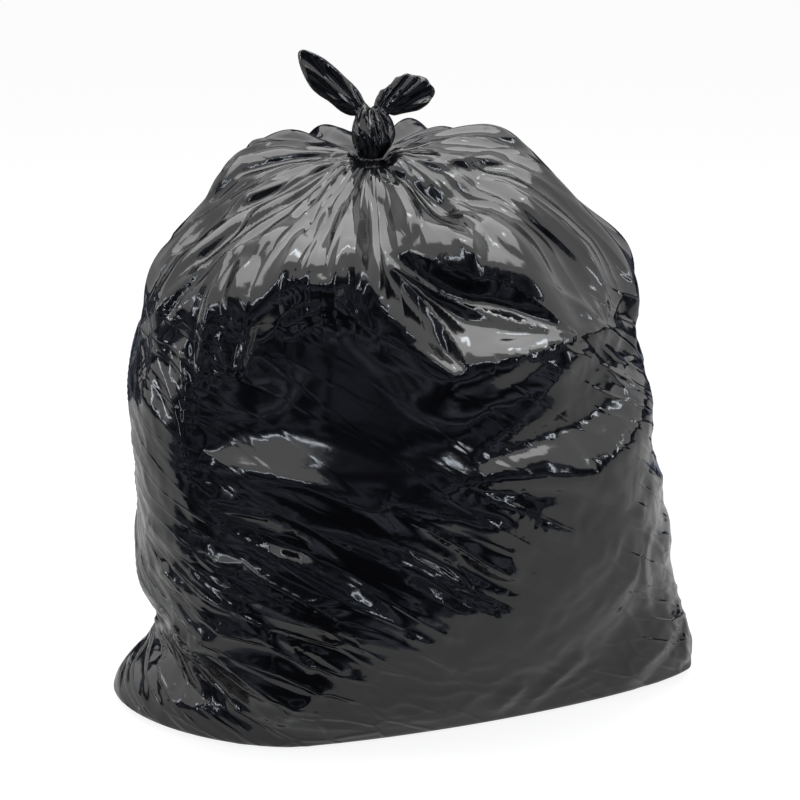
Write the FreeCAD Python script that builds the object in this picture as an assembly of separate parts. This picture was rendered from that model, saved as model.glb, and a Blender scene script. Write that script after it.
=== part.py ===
import FreeCAD, Part
import Mesh
import math
import os

# A filled and tied bin bag, in millimetres. +Z is up and the bag stands on z = 0.
# The long way of the bag, from bottom corner to bottom corner, runs along X.
# The fullest side faces -Y, and the origin is under the middle of its bounding box.

# Driving sizes of the filled sack
SACK_WIDTH = 558.0
SACK_DEPTH = 388.0
SACK_HEIGHT = 541.0

# The film turns under the sack: the flat underside is this share of the lowest ring
FOOT_INSET = 0.96

# The neck, where the film is drawn together
NECK_ACROSS = -29.0
NECK_BEHIND = -40.0
NECK_HEIGHT = 508.0
NECK_RADIUS = 11.0
NECK_LENGTH = 9.0

# The knot tied in the neck, a lumpy body between two narrow waists. The waists are given as
# the shares of a half turn at which its swelling starts and how much of it there is.
KNOT_WIDTH = 38.0
KNOT_DEPTH = 34.0
KNOT_HEIGHT = 40.0
KNOT_WAIST = 0.16
KNOT_SWELL = 0.62
KNOT_LUMPS = 3
KNOT_LUMP_SIZE = 0.14
KNOT_TWIST = 2.5

# The two loose ends of film that come out of the knot. The lean and the bend are in degrees,
# the lean from upright towards +X, and the widest place is a share of the length.
LONG_END_LENGTH = 79.0
LONG_END_WIDTH = 30.0
LONG_END_LEAN = -52.0
LONG_END_BEND = 14.0
LONG_END_WIDEST = 0.55
SHORT_END_LENGTH = 54.0
SHORT_END_WIDTH = 36.0
SHORT_END_LEAN = 38.0
SHORT_END_BEND = 52.0
SHORT_END_WIDEST = 0.65
END_THICKNESS = 12.0
END_EDGE_THICKNESS = 0.35
END_ROOT_WIDTH = 0.5
END_TIP_CLOSING = 0.86
END_FORWARD = 0.1
END_CREASES = 3
END_CREASE_SIZE = 0.3
END_CREASE_TWIST = 2.0

# The gathers that run from the neck over the shoulders. Places along the film are levels from
# 0, the floor, to 1, the neck. What varies from gather to gather is given as a share.
PLEAT_COUNT = 25
PLEAT_DEPTH = 17.0
PLEAT_STEEPNESS = 0.5
PLEAT_FOOT = 0.42
PLEAT_FOOT_VARIES = 0.1
PLEAT_RISE = 0.2
PLEAT_SIZE_VARIES = 0.3
PLEAT_PLACE_VARIES = 0.3

# The folds: how round their crests are, and how much of their listed height is given
CREST_RADIUS = 7.0
FOLD_STRENGTH = 1.75
FOLD_FADE = 0.35
FOLD_FOOT = 0.06
FOLD_TOP = 0.86
FOLD_END = 0.95
CLOSE = 1e-6

# The mesh of facets that stands for the film
COLUMNS = 100
ROWS = 48
FRONT_CROWDING = 0.22
KNOT_ROWS = 6
KNOT_COLUMNS = 20
END_ROWS = 9
FACET_TOLERANCE = 0.001

# Where the folds were looked at from: a viewer this far off, this high in degrees, and looking
# this far above the line where the sack meets the floor
VIEW_DISTANCE = 2149.0
VIEW_ELEVATION = 15.0
VIEW_AIM_UP = 274.0

# Each station is a ring round the sack, from the floor to the neck.
# Its left, right, front and back points are in percent of the half width, half depth and height,
# and the last four numbers say how square its corners are: front left, front right, back left,
# back right. 1 is a straight line between two points, 2 is an ellipse and 4 is nearly square.
STATIONS = [
    ((-100, -9, 1), (101, 14, 1), (-38, -84, 1), (34, 84, 1), (1.75, 1.3, 1.35, 1.8)),
    ((-97, -8, 5), (100, 13, 5), (-36, -91, 6), (32, 92, 6), (1.8, 1.35, 1.4, 1.9)),
    ((-84, -5, 14), (96, 11, 12), (-30, -95, 14), (26, 96, 14), (2.1, 1.5, 1.6, 2.1)),
    ((-87, -3, 24), (90, 8, 24), (-22, -98, 24), (18, 99, 24), (2.6, 1.8, 1.9, 2.4)),
    ((-87, 0, 37), (84, 5, 36), (-15, -98, 37), (10, 98, 37), (3.0, 2.3, 2.3, 2.6)),
    ((-87, 0, 51), (79, 3, 50), (-11, -96, 50), (6, 95, 50), (3.0, 2.6, 2.5, 2.6)),
    ((-86, 0, 60), (72, 0, 62), (-8, -92, 61), (3, 91, 62), (2.9, 2.6, 2.5, 2.5)),
    ((-77, 2, 71), (70, 0, 71), (-7, -86, 71), (0, 86, 73), (2.7, 2.5, 2.4, 2.4)),
    ((-67, 4, 83), (61, 3, 80), (-8, -76, 79), (0, 80, 83), (2.4, 2.3, 2.2, 2.2)),
    ((-57, 5, 92), (45, 5, 89), (-9, -65, 84), (-2, 69, 92), (2.2, 2.2, 2.0, 2.0)),
    ((-43, 3, 96), (31, 6, 95), (-10, -53, 88), (-5, 49, 96), (2.0, 2.0, 2.0, 2.0)),
    ((-30, -10, 96), (10, -8, 96), (-10, -42, 91), (-8, 18, 96), (2.0, 2.0, 2.0, 2.0)),
    ((-19, -20, 95), (-2, -20, 95), (-10, -32, 93), (-10, -5, 95), (2.0, 2.0, 2.0, 2.0)),
]

# Folds of the film. Each point is (across, up, height): across and up are where the fold is seen
# from the viewpoint, in percent of the half width and of the height, and height is how far the
# fold stands out of the film in millimetres, or how deep it lies where it is negative. The two
# numbers after the points are how far the fold reaches to its left and right, walking along it.
FRONT_FOLDS = {
    "shoulder_scallop": ([(-90, 60, 4), (-73, 54, 14), (-58, 57, 16), (-48, 64, 12)], 90, 60),
    "shoulder_brow_left": ([(-88, 58, 2), (-77, 61, 14), (-65, 62, 22), (-53, 65, 25)], 84, 40),
    "shoulder_brow_right": ([(-53, 65, 25), (-41, 70, 21), (-25, 71, 19), (-20, 77, 11)], 84, 40),
    "fan_side": ([(-19, 94, 3), (-19, 77, 9), (-13, 71, 7), (-6, 65, 4)], 40, 30),
    "pocket_top": ([(2, 77, 10), (25, 73, 14), (39, 71, 14), (59, 62, 8)], 60, 40),
    "pocket_side": ([(-17, 76, 5), (-6, 65, 8), (20, 54, 8)], 30, 40),
    "pocket_brow": ([(20, 55, 13), (33, 57, 19), (49, 59, 17), (60, 62, 14), (72, 63, 5)], 80, 38),
    "pocket_valley": ([(0, 74, -5), (20, 67, -9), (57, 62, -3)], 30, 30),
    "pocket_inner": ([(0, 73, 0), (14, 63, -7), (22, 56, -2)], 26, 26),
    "right_shoulder": ([(29, 94, 4), (42, 86, 10), (52, 80, 8), (66, 65, 2)], 50, 40),
    "right_hollow": ([(35, 84, -3), (46, 74, -7), (62, 64, -2)], 34, 34),
    "top_ridge_right": ([(0, 92, 4), (20, 93, 8), (36, 99, 6)], 34, 34),
    "top_hollow_right": ([(2, 86, -4), (14, 84, -8), (30, 86, -2)], 26, 26),
    "knot_fold_right": ([(-12, 90, 4), (0, 84, 8), (6, 78, 10), (0, 74, 5)], 24, 30),
    "knot_hollow": ([(-14, 86, -3), (-10, 79, -8), (-6, 74, -3)], 22, 22),
    "star_ridge_up": ([(21, 35, 4), (33, 37, 9), (67, 37, 9), (82, 47, 6)], 44, 30),
    "star_ridge_low": ([(21, 35, 3), (38, 30, 8), (59, 25, 4)], 30, 34),
    "star_upper_face": ([(22, 37, 0), (38, 45, 6), (60, 56, 9), (80, 61, 4)], 60, 50),
    "star_ridge_right": ([(67, 37, 8), (76, 32, 7), (86, 28, 4)], 34, 34),
    "star_valley": ([(26, 36, -2), (60, 33, -8), (84, 30, -3)], 26, 26),
    "left_corner_edge": ([(-76, 60, 7), (-75, 50, 13), (-74, 37, 13), (-62, 28, 7)], 46, 60),
    "belly_brow_left": ([(-73, 40, 5), (-53, 38, 12), (-26, 35, 12), (-1, 32, 8)], 40, 70),
    "belly_brow_right": ([(-1, 32, 8), (20, 36, 9), (50, 37, 14), (65, 37, 14), (82, 50, 7)], 40, 70),
    "drag_1": ([(-74, 36, 4), (-40, 30, 9), (-6, 22, 7), (12, 12, 2)], 34, 26),
    "drag_1_under": ([(-70, 31, -2), (-36, 26, -7), (0, 18, -3)], 24, 24),
    "drag_2": ([(-80, 26, 2), (-50, 24, 7), (-20, 14, 6), (-6, 5, 1)], 26, 26),
    "drag_3": ([(-93, 20, 2), (-66, 19, 6), (-36, 12, 6), (-16, 6, 1)], 24, 24),
    "drag_4": ([(-6, 34, 3), (24, 26, 8), (42, 18, 6), (52, 12, 1)], 28, 26),
    "drag_4_under": ([(-8, 29, -2), (18, 22, -7), (40, 13, -2)], 22, 22),
    "drag_5": ([(-20, 20, 2), (10, 14, 6), (38, 7, 1)], 24, 24),
    "belly_edge": ([(-6, 6, 2), (24, 7, 6), (44, 14, 7), (72, 27, 5)], 40, 70),
    "right_foot_1": ([(90, 18, 3), (86, 10, 6), (78, 2, 3)], 20, 20),
    "right_foot_2": ([(96, 16, 2), (95, 8, 5), (90, 3, 2)], 14, 16),
    "left_foot_crease": ([(-88, 12, -3), (-76, 4, -10), (-56, -6, -6), (-36, -11, -2)], 22, 26),
    "left_foot_ridge": ([(-74, 9, 8), (-60, 13, 8), (-44, 11, 3)], 26, 34),
    "left_foot_pucker": ([(-74, 8, 6), (-58, 4, 5), (-42, -5, 2)], 24, 30),
}
BACK_FOLDS = {
    "shoulder_edge_left": ([(-84, 66, 3), (-60, 62, 13), (-34, 68, 14), (-12, 62, 5)], 80, 60),
    "shoulder_edge_right": ([(0, 74, 4), (26, 66, 13), (54, 62, 12), (80, 66, 4)], 70, 60),
    "cross_ridge": ([(-66, 30, 3), (-30, 40, 10), (10, 42, 10), (40, 56, 4)], 50, 40),
    "cross_valley": ([(-60, 22, -2), (-20, 33, -8), (30, 38, -3)], 34, 30),
    "belly_ridge": ([(-30, 14, 3), (12, 22, 9), (50, 24, 8), (82, 38, 3)], 40, 44),
    "drag_1": ([(70, 52, 3), (40, 40, 8), (8, 30, 6), (-20, 26, 1)], 30, 28),
    "drag_2": ([(84, 26, 2), (56, 18, 7), (24, 6, 6), (0, 2, 1)], 30, 28),
    "drag_3": ([(-86, 34, 2), (-60, 18, 8), (-30, 4, 5), (-10, -4, 1)], 30, 30),
    "left_corner_edge": ([(-72, 64, 3), (-74, 46, 9), (-70, 30, 3)], 50, 50),
    "right_corner_edge": ([(70, 60, 3), (74, 44, 9), (72, 30, 3)], 50, 50),
    "left_foot": ([(-92, 12, 2), (-78, 6, 7), (-60, -4, 2)], 22, 26),
    "right_foot": ([(92, 14, 2), (76, 8, -8), (56, 0, -2)], 22, 26),
}
SIDE_FOLDS = {
    "upper": ([(-44, 74, 2), (-10, 62, 11), (30, 68, 9), (52, 60, 2)], 60, 50),
    "middle": ([(-50, 40, 2), (-6, 50, 10), (40, 42, 2)], 40, 50),
    "slant": ([(-46, 26, 2), (0, 24, 8), (44, 36, 2)], 30, 36),
    "low": ([(-40, 8, 2), (6, 14, 7), (50, 6, 2)], 26, 30),
    "hollow": ([(-36, 32, -2), (4, 34, -8), (42, 30, -2)], 30, 30),
}

# Turns of the viewpoint round the sack, for the folds on each of its sides
FOLD_VIEWS = [(0.0, FRONT_FOLDS), (180.0, BACK_FOLDS), (90.0, SIDE_FOLDS), (270.0, SIDE_FOLDS)]


def smooth_step(low, high, value):
    """0 below low and 1 above high, with a soft climb between them."""
    share = min(1.0, max(0.0, (value - low) / (high - low)))
    return share * share * (3.0 - 2.0 * share)


def tent(distance, reach):
    """Height of a fold's cross-section: a crest with straight flanks, rounded at the top."""
    rounded = math.sqrt(distance * distance + CREST_RADIUS * CREST_RADIUS) - CREST_RADIUS
    return max(0.0, 1.0 - rounded / reach)


def spline(before, start, end, after, share):
    """A curve through the values at share 0 and 1 that leaves towards their neighbours."""
    leave = (end - before) / 2.0
    arrive = (after - start) / 2.0
    rest = 1.0 - share
    return (
        start * (1.0 + 2.0 * share) * rest * rest
        + end * share * share * (3.0 - 2.0 * share)
        + leave * share * rest * rest
        - arrive * share * share * rest
    )


def station_at(level):
    """The ring at a level from 0, the floor, to 1, the neck: four points and four corners."""
    place = level * (len(RINGS) - 1)
    index = min(int(place), len(RINGS) - 2)
    share = place - index
    four = [RINGS[min(max(index + step, 0), len(RINGS) - 1)] for step in (-1, 0, 1, 2)]
    mixed = [spline(*values, share) for values in zip(*four)]
    points = [FreeCAD.Vector(*mixed[first:first + 3]) for first in (0, 3, 6, 9)]
    return points, mixed[12:]


def station_numbers(station):
    """One station in millimetres, as a flat list: left, right, front and back points, corners."""
    numbers = []
    for across, behind, up in station[:4]:
        numbers += [
            across * SACK_WIDTH / 200.0,
            behind * SACK_DEPTH / 200.0,
            up * SACK_HEIGHT / 100.0,
        ]
    return numbers + list(station[4])


def neck_numbers(height, radius):
    """The ring of the neck at a height, in the same order as a station's."""
    across, behind = NECK_ACROSS, NECK_BEHIND
    left = [across - radius, behind, height]
    right = [across + radius, behind, height]
    front = [across, behind - radius, height]
    back = [across, behind + radius, height]
    return left + right + front + back + [2.0, 2.0, 2.0, 2.0]


RINGS = [station_numbers(station) for station in STATIONS] + [
    neck_numbers(NECK_HEIGHT, NECK_RADIUS),
    neck_numbers(NECK_HEIGHT + NECK_LENGTH, NECK_RADIUS),
]


def ring_point(level, turn):
    """A point of the smooth sack: the ring at a level, at a turn round it from +X."""
    (left, right, front, back), corners = station_at(level)
    across, behind = math.cos(turn), math.sin(turn)
    side = right if across >= 0 else left
    end = back if behind >= 0 else front
    power = corners[(2 if behind >= 0 else 0) + (1 if across >= 0 else 0)]
    along_x = abs(across) ** (2.0 / power)
    along_y = abs(behind) ** (2.0 / power)
    x = end.x + (side.x - end.x) * along_x
    y = side.y + (end.y - side.y) * along_y
    z = side.z * across * across + end.z * behind * behind
    return FreeCAD.Vector(x, y, z)


def column_turn(column):
    """The turn of a column, with the columns crowded towards the front."""
    even = 2.0 * math.pi * column / COLUMNS
    return even - FRONT_CROWDING * math.cos(even)


def varied(index, step):
    """A number between -1 and 1 that differs from one gather to the next."""
    return math.sin(step * (index + 1))


def pleat_push(level, turn, radius):
    """How far the gathers push the film out at a point, most between neck and shoulder."""
    pitch = 2.0 * math.pi / PLEAT_COUNT
    deepest = min(PLEAT_DEPTH, PLEAT_STEEPNESS * pitch * radius)
    push = 0.0
    for index in range(PLEAT_COUNT):
        middle = pitch * (index + PLEAT_PLACE_VARIES * varied(index, 2.4))
        foot = PLEAT_FOOT + PLEAT_FOOT_VARIES * varied(index, 1.9)
        size = deepest * (1.0 - PLEAT_SIZE_VARIES + PLEAT_SIZE_VARIES * varied(index, 1.3))
        away = abs((turn - middle + math.pi) % (2.0 * math.pi) - math.pi)
        crest = max(0.0, 1.0 - away / (pitch / 2.0))
        push += size * crest * smooth_step(foot, foot + PLEAT_RISE, level)
    return push


def seen_at(point, turn):
    """Where a point is seen from the viewpoint turned about the sack, in percent of its size."""
    angle = math.radians(turn)
    lean = math.radians(VIEW_ELEVATION)
    x = point.x * math.cos(angle) - point.y * math.sin(angle)
    y = point.x * math.sin(angle) + point.y * math.cos(angle)
    height = y * math.sin(lean) + point.z * math.cos(lean) - VIEW_AIM_UP
    depth = VIEW_DISTANCE + y * math.cos(lean) - point.z * math.sin(lean)
    scale = VIEW_DISTANCE / depth
    across = x * scale * 200.0 / SACK_WIDTH
    up = (height * scale + VIEW_AIM_UP) * 100.0 / SACK_HEIGHT
    return across, up


def nearest_on(start, end, place):
    """How far a place is from a stretch, how far along it, and how far round to its left."""
    run_x, run_y = end[0] - start[0], end[1] - start[1]
    off_x, off_y = place[0] - start[0], place[1] - start[1]
    run = run_x * run_x + run_y * run_y
    share = min(1.0, max(0.0, (off_x * run_x + off_y * run_y) / run))
    distance = math.hypot(off_x - share * run_x, off_y - share * run_y)
    side = run_x * off_y - run_y * off_x
    leftness = (1.0 + side / max(distance * math.sqrt(run), CLOSE)) / 2.0
    return distance, share, leftness


def fold_height(place, fold):
    """The height of one fold at a place in its view, from the nearest stretch of its line."""
    points, left_reach, right_reach = fold
    seen = [(x * SACK_WIDTH / 200.0, y * SACK_HEIGHT / 100.0) for x, y, height in points]
    at = (place[0] * SACK_WIDTH / 200.0, place[1] * SACK_HEIGHT / 100.0)
    found = []
    for index in range(len(points) - 1):
        distance, share, leftness = nearest_on(seen[index], seen[index + 1], at)
        height = points[index][2] + share * (points[index + 1][2] - points[index][2])
        reach = right_reach + leftness * (left_reach - right_reach)
        found.append((distance, height, reach))
    distance, height, reach = min(found)
    return height * tent(distance, reach)


def fold_push(point, normal):
    """How far the folds of every side push a point of the film out."""
    push = 0.0
    lean = math.radians(VIEW_ELEVATION)
    for turn, folds in FOLD_VIEWS:
        angle = math.radians(turn)
        level_facing = -math.sin(angle) * normal.x - math.cos(angle) * normal.y
        facing = level_facing * math.cos(lean) + normal.z * math.sin(lean)
        weight = smooth_step(0.0, FOLD_FADE, facing)
        if weight > 0.0:
            place = seen_at(point, turn)
            heights = [fold_height(place, fold) for fold in folds.values()]
            push += FOLD_STRENGTH * weight * (max(0.0, *heights) + min(0.0, *heights))
    return push


def folded_point(smooth, row, column, turn):
    """One point of the smooth sack, pushed along the film's normal by its gathers and folds."""
    level = row / ROWS
    point = smooth[row][column]
    above = smooth[min(row + 1, ROWS)][column]
    below = smooth[row - 1][column]
    round_it = smooth[row][(column + 1) % COLUMNS] - smooth[row][column - 1]
    normal = round_it.cross(above - below).normalize()
    open_film = smooth_step(0.0, FOLD_FOOT, level) * (1.0 - smooth_step(FOLD_TOP, FOLD_END, level))
    radius = math.hypot(point.x - NECK_ACROSS, point.y - NECK_BEHIND)
    push = pleat_push(level, turn, radius) + open_film * fold_push(point, normal)
    return point + normal * push


def sack_rows():
    """Rows of points of the folded film, from the underside to the neck."""
    turns = [column_turn(column) for column in range(COLUMNS)]
    smooth = [[ring_point(row / ROWS, turn) for turn in turns] for row in range(ROWS + 1)]
    under = [FreeCAD.Vector(p.x * FOOT_INSET, p.y * FOOT_INSET, 0.0) for p in smooth[0]]
    rows = [under, smooth[0]]
    for row in range(1, ROWS + 1):
        rows.append([folded_point(smooth, row, column, turns[column]) for column in range(COLUMNS)])
    return rows


def quad_facets(rows):
    """Triangles between rows of points, each quad cut along its shorter diagonal."""
    facets = []
    count = len(rows[0])
    for lower, upper in zip(rows, rows[1:]):
        for column in range(count):
            following = (column + 1) % count
            a, b = lower[column], lower[following]
            c, d = upper[following], upper[column]
            if a.distanceToPoint(c) <= b.distanceToPoint(d):
                facets += [(a, b, c), (a, c, d)]
            else:
                facets += [(a, b, d), (b, c, d)]
    return facets


def underside_facets(ring):
    """The flat underside: one large triangle under the middle, and a fan on each of its sides."""
    third = len(ring) // 3
    corners = [0, third, 2 * third, len(ring)]
    facets = [(ring[0], ring[2 * third], ring[third])]
    for first, last in zip(corners, corners[1:]):
        for index in range(first + 1, last):
            facets.append((ring[first], ring[(index + 1) % len(ring)], ring[index]))
    return facets


def reducing_facets(outer, inner):
    """Triangles from a ring of many points to a ring of fewer, each of these taking as many."""
    facets = []
    ratio = len(outer) // len(inner)
    for index, point in enumerate(inner):
        following = inner[(index + 1) % len(inner)]
        arc = [outer[(index * ratio + step) % len(outer)] for step in range(ratio + 1)]
        half = ratio // 2
        facets += [(a, b, point) for a, b in zip(arc[:half], arc[1:half + 1])]
        facets.append((arc[half], following, point))
        facets += [(a, b, following) for a, b in zip(arc[half:], arc[half + 1:])]
    return facets


def knot_rows():
    """Rings of the knot's tight body, from the neck up to where the loose ends part."""
    rows = []
    for row in range(KNOT_ROWS + 1):
        share = row / KNOT_ROWS
        swell = math.sin(math.pi * (KNOT_WAIST + KNOT_SWELL * share))
        ring = []
        for column in range(KNOT_COLUMNS):
            turn = column_turn(column * COLUMNS // KNOT_COLUMNS)
            lump = KNOT_LUMP_SIZE * math.sin(KNOT_LUMPS * turn + KNOT_TWIST * share)
            size = swell * (1.0 + lump) / 2.0
            x = NECK_ACROSS + size * KNOT_WIDTH * math.cos(turn)
            y = NECK_BEHIND + size * KNOT_DEPTH * math.sin(turn)
            ring.append(FreeCAD.Vector(x, y, NECK_HEIGHT + NECK_LENGTH + share * KNOT_HEIGHT))
        rows.append(ring)
    return rows


def end_half_width(share, width, widest):
    """Half the width of a loose end at a share of its length: a leaf that closes at its tip."""
    opening = math.sin(math.pi / 2.0 * min(1.0, share / widest))
    closing = max(0.0, (share - widest) / (1.0 - widest))
    half = width / 2.0 * (END_ROOT_WIDTH + (1.0 - END_ROOT_WIDTH) * opening)
    return half * math.cos(math.pi / 2.0 * END_TIP_CLOSING * closing)


def end_rows(loop, outer_turn, lean, bend, length, width, widest):
    """Rings of one loose end: a flattened, creased leaf that leaves the knot and bends over.

    loop is the half of the knot's top ring that the end grows from, and outer_turn is the turn
    at which the middle of that half lies.
    """
    rows = [loop]
    place = sum(loop, FreeCAD.Vector()) * (1.0 / len(loop))
    for row in range(1, END_ROWS + 1):
        share = row / END_ROWS
        angle = math.radians(lean + bend * share)
        along = FreeCAD.Vector(math.sin(angle), -END_FORWARD, math.cos(angle)).normalize()
        wide = FreeCAD.Vector(0, 1, 0).cross(along).normalize()
        thick = along.cross(wide)
        place = place + along * (length / END_ROWS)
        half = end_half_width(share, width, widest)
        fullness = END_EDGE_THICKNESS + (1.0 - END_EDGE_THICKNESS) * 2.0 * half / width
        ring = []
        for index in range(len(loop)):
            turn = outer_turn + 2.0 * math.pi * ((index + 0.5) / len(loop) - 0.5)
            crease = END_CREASE_SIZE * math.cos(END_CREASES * turn + END_CREASE_TWIST * share)
            flat = END_THICKNESS / 2.0 * fullness * (1.0 + crease)
            ring.append(place + wide * half * math.cos(turn) + thick * flat * math.sin(turn))
        rows.append(ring)
    return rows


def end_facets(rows):
    """The facets of one loose end, closed at its tip."""
    last = rows[-1]
    tip = sum(last, FreeCAD.Vector()) * (1.0 / len(last))
    cap = [(last[index - 1], last[index], tip) for index in range(len(last))]
    return quad_facets(rows) + cap


def both_ends_facets(top):
    """The two loose ends, which share the knot's top ring and part along its front to back line."""
    back, front = KNOT_COLUMNS // 4, 3 * KNOT_COLUMNS // 4
    long_end = end_rows(
        top[back:front + 1], math.pi,
        LONG_END_LEAN, LONG_END_BEND, LONG_END_LENGTH, LONG_END_WIDTH, LONG_END_WIDEST,
    )
    short_end = end_rows(
        top[front:] + top[:back + 1], 0.0,
        SHORT_END_LEAN, SHORT_END_BEND, SHORT_END_LENGTH, SHORT_END_WIDTH, SHORT_END_WIDEST,
    )
    return end_facets(long_end) + end_facets(short_end)


def solid_from_facets(facets):
    """One closed solid from triangles that share their corners."""
    mesh = Mesh.Mesh([corner for facet in facets for corner in facet])
    shell = Part.Shape()
    shell.makeShapeFromMesh(mesh.Topology, FACET_TOLERANCE)
    return Part.makeSolid(shell)


def bag_solid():
    """The whole bag: one film from its flat underside to the tips of its two loose ends."""
    sack = sack_rows()
    knot = knot_rows()
    facets = underside_facets(sack[0]) + quad_facets(sack)
    facets += reducing_facets(sack[-1], knot[0]) + quad_facets(knot)
    facets += both_ends_facets(knot[-1])
    return solid_from_facets(facets)


bag = bag_solid()
box = bag.BoundBox
bag.translate(FreeCAD.Vector(-box.Center.x, -box.Center.y, -box.ZMin))
os.makedirs("parts", exist_ok=True)
bag.exportStep("parts/bag.step")
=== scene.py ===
# %% [markdown]
# A full bin bag stands on a pale floor, tied in a knot of its own film. The film is thin, black
# and glossy, so almost all that the eye sees are reflections: grey where the film faces a soft
# lamp above, black where it faces the dark side of the room, and small sparks along the creases.
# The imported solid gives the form. This script lays a finer film over it, creases that film as in
# the photograph, and sets up a studio for it.

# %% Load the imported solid
import math

import bmesh
import bpy
import numpy as np
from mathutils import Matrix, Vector, noise


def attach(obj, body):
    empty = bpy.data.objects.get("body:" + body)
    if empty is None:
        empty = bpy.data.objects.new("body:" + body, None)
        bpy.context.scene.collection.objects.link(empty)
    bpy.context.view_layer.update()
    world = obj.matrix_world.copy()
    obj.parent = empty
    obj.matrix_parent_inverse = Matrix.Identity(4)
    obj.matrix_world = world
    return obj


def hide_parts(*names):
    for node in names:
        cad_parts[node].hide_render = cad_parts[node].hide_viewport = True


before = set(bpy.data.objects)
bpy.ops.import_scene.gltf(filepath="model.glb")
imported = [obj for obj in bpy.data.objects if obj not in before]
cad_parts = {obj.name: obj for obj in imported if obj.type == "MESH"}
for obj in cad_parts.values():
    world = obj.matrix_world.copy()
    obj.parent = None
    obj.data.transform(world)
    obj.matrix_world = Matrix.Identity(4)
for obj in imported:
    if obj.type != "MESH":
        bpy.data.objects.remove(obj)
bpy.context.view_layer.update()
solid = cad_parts["bag"]

# %% [markdown]
# The camera comes first, because the creases are placed by where the photograph shows them. The
# photograph looks down on the bag by about 15 degrees from a little over two metres. A lens of
# 100 mm on a sensor of 36 mm gives its flat perspective.

# %% The camera, and where it sees a point
PICTURE_SIZE = 800
LENS_MM = 100.0
SENSOR_MM = 36.0
CAMERA_TILT = math.radians(15.0)
CAMERA_PLACE = Vector((-0.00522, -2.00291, 0.82051))

camera = bpy.data.objects.new("camera", bpy.data.cameras.new("camera"))
bpy.context.scene.collection.objects.link(camera)
bpy.context.scene.camera = camera
camera.data.lens = LENS_MM
camera.data.sensor_width = SENSOR_MM
camera.location = CAMERA_PLACE
camera.rotation_euler = (math.pi / 2 - CAMERA_TILT, 0, 0)


def seen(points):
    """Where the camera sees points, in pixels of the photograph from its top left corner."""
    away = points - np.array(CAMERA_PLACE)
    ahead = away[:, 1] * math.cos(CAMERA_TILT) - away[:, 2] * math.sin(CAMERA_TILT)
    up = away[:, 1] * math.sin(CAMERA_TILT) + away[:, 2] * math.cos(CAMERA_TILT)
    scale = PICTURE_SIZE * LENS_MM / SENSOR_MM / ahead
    return np.stack([PICTURE_SIZE / 2 + away[:, 0] * scale, PICTURE_SIZE / 2 - up * scale], axis=1)


print("the middle of the floor is seen at", seen(np.zeros((1, 3)))[0].round(1))

# %% [markdown]
# The film starts as a copy of the solid's mesh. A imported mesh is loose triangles, so its doubles
# are merged first, and pairs of triangles are joined to quads, which subdivide into a smooth
# surface. The flat underside is one fan of long triangles. It is replaced by one flat face with a
# ring round it, so that the film can bend where it meets the floor.

# %% Copy the solid as a film of quads
MERGE = 1e-5
UNDERSIDE_RING = 0.03


def film_from_solid():
    mesh = bmesh.new()
    mesh.from_mesh(solid.data)
    bmesh.ops.remove_doubles(mesh, verts=mesh.verts, dist=MERGE)
    bmesh.ops.join_triangles(
        mesh, faces=mesh.faces, angle_face_threshold=math.pi, angle_shape_threshold=math.pi
    )
    under = [f for f in mesh.faces if all(v.co.z < MERGE for v in f.verts)]
    bmesh.ops.dissolve_faces(mesh, faces=under)
    under = [f for f in mesh.faces if all(v.co.z < MERGE for v in f.verts)]
    bmesh.ops.inset_region(mesh, faces=under, thickness=UNDERSIDE_RING, depth=0)
    return mesh


film_mesh = film_from_solid()
print("film:", len(film_mesh.verts), "points,", len(film_mesh.faces), "faces")

film = bpy.data.objects.new("film", bpy.data.meshes.new("film"))
bpy.context.scene.collection.objects.link(film)
film_mesh.to_mesh(film.data)
film_mesh.free()


# %% Subdivide the film, and read and move its points
def apply_modifiers(piece):
    """Bakes the piece's modifiers into its mesh."""
    done = bpy.data.meshes.new_from_object(
        piece.evaluated_get(bpy.context.evaluated_depsgraph_get())
    )
    piece.modifiers.clear()
    piece.data = done


def subdivide(piece):
    """Splits each face in four and smooths the result."""
    finer = piece.modifiers.new("finer", "SUBSURF")
    finer.levels = finer.render_levels = 1
    apply_modifiers(piece)
    print(piece.name, "has", len(piece.data.polygons), "faces")


def points_of(piece):
    flat = np.empty(len(piece.data.vertices) * 3)
    piece.data.vertices.foreach_get("co", flat)
    return flat.reshape(-1, 3)


def normals_of(piece):
    flat = np.empty(len(piece.data.vertices) * 3)
    piece.data.vertices.foreach_get("normal", flat)
    return flat.reshape(-1, 3)


def move_points(piece, points):
    piece.data.vertices.foreach_set("co", points.ravel())
    piece.data.update()


subdivide(film)

# %% [markdown]
# A crease is a line on the picture with a height at each of its points. The film rises to it in
# straight flanks on either side, as thin film does when it is pulled: flat facets that meet in a
# sharp line. Where two creases are near, the higher one wins, so facets meet as in folded paper.
# A negative height is a valley.

# %% The height of a crease
MM = 0.001
CREST = 1.3
FAR = 1e9


def blend(low, high, values):
    """0 below low and 1 above high, with a soft change between them."""
    share = np.clip((values - low) / (high - low), 0, 1)
    return share * share * (3 - 2 * share)


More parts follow.
